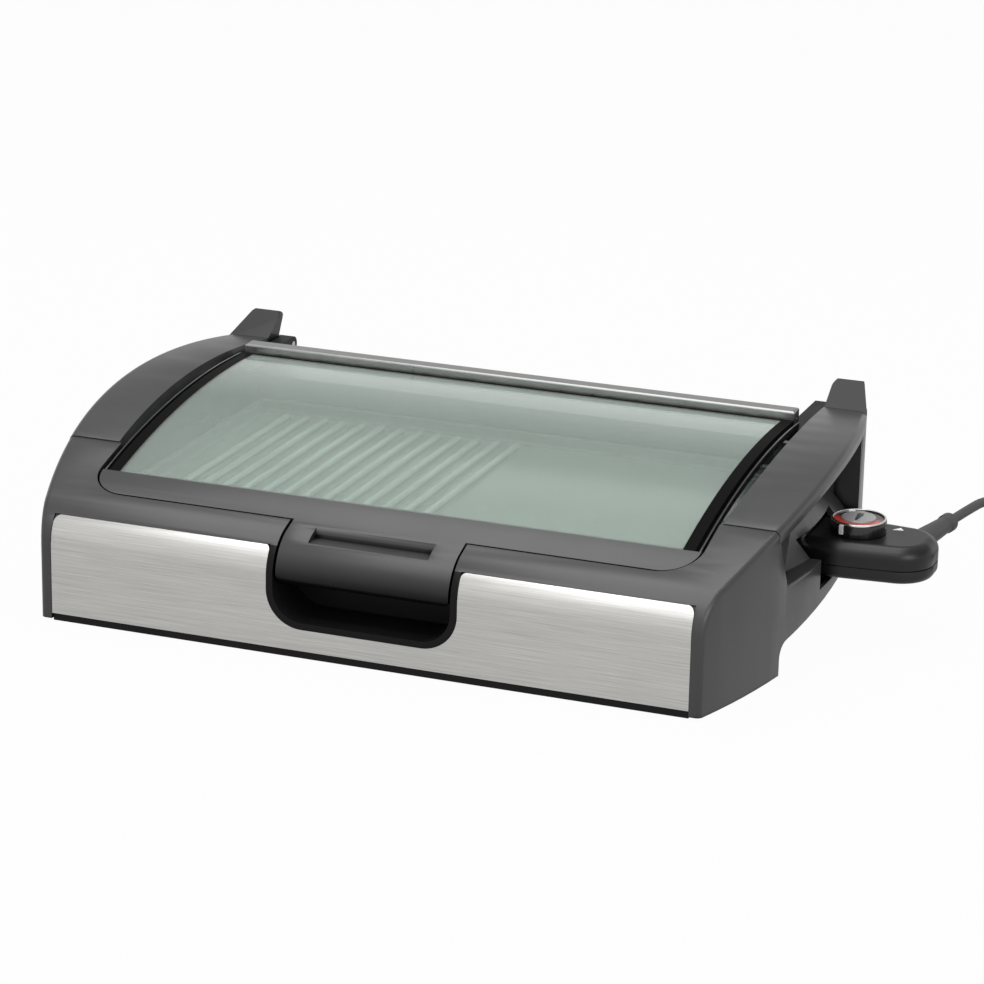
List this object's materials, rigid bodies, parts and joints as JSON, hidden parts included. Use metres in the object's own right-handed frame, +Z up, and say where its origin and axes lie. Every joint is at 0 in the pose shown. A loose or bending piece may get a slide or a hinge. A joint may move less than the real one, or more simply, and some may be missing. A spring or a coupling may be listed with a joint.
{
  "type": "table grill",
  "caption": "Electric table grill with a curved glass lid on rear hinges, a steel front panel and a plug-in thermostat control with its mains lead.",
  "frame": {"origin": "middle of the footprint of the grill with its control, on the table under the rubber feet", "axes": "+X to the right along the width, +Y from the front panel to the hinges, +Z up"},
  "size_m": [0.8552, 0.495, 0.1456],
  "materials": {
    "dark_plastic": "satin",
    "black_plastic": "satin",
    "inner_plastic": "matte",
    "steel_sheet": "brushed along its length",
    "bright_sheet": "satin",
    "coated_plate": "non-stick coated, satin",
    "heater_steel": "dull",
    "contact_metal": "polished",
    "fastener_steel": "zinc plated",
    "lid_glass": "clear with a green tint",
    "lid_metal": "satin",
    "dark_metal": "satin black",
    "foot_rubber": "matte",
    "dial_red": "glossy",
    "bright_trim": "polished",
    "silver_trim": "satin silver",
    "pale_print": "satin",
    "cord_rubber": "matte"
  },
  "bodies": {
    "base": {"outer_casing": "dark_plastic", "left_rail": "dark_plastic", "right_rail": "dark_plastic", "grip_pocket": "black_plastic", "base_pan": "black_plastic", "terminal_shroud": "inner_plastic", "front_panel": "steel_sheet", "heat_reflector": "bright_sheet", "drip_tray": "bright_sheet", "grill_plate": "coated_plate", "heating_element": "heater_steel", "element_clips": "heater_steel", "sensor_tube": "heater_steel", "contact_pins": "contact_metal", "casing_screws": "fastener_steel", "hinge_pins": "fastener_steel", "rubber_feet": "foot_rubber"},
    "lid": {"lid_glass": "lid_glass", "lid_apron": "dark_plastic", "left_lid_bar": "dark_metal", "right_lid_bar": "dark_metal", "lid_rear_rail": "lid_metal", "left_hinge_arm": "black_plastic", "right_hinge_arm": "black_plastic", "lid_screws": "fastener_steel"},
    "control": {"control_upper_shell": "black_plastic", "control_lower_shell": "black_plastic", "contact_block": "black_plastic", "contact_sleeves": "contact_metal", "sensor_probe": "heater_steel", "thermostat_switch": "inner_plastic", "control_screws": "fastener_steel", "pointer_mark": "pale_print", "cord_relief": "cord_rubber", "power_cord": "cord_rubber", "cord_coil": "cord_rubber", "cord_tie": "cord_rubber", "mains_plug_body": "cord_rubber", "mains_plug_pins": "contact_metal"},
    "knob": {"knob": "black_plastic", "knob_bezel": "bright_trim", "dial_ring": "dial_red", "knob_cap": "silver_trim", "knob_marker": "pale_print", "knob_shaft": "fastener_steel"}
  },
  "joints": [
    {"name": "lid_hinge", "type": "hinge", "parent": "base", "child": "lid", "pos_m": [-0.03735, 0.188, 0.1195], "axis": [-1, 0, 0], "range_deg": [0, 100]},
    {"name": "control_pull", "type": "slide", "parent": "base", "child": "control", "axis": [1, 0, 0], "range_m": [0, 0.1]},
    {"name": "knob_turn", "type": "hinge", "parent": "control", "child": "knob", "pos_m": [0.27065, 0.024, 0.08], "axis": [0, 0, 1], "range_deg": [0, 270]}
  ]
}
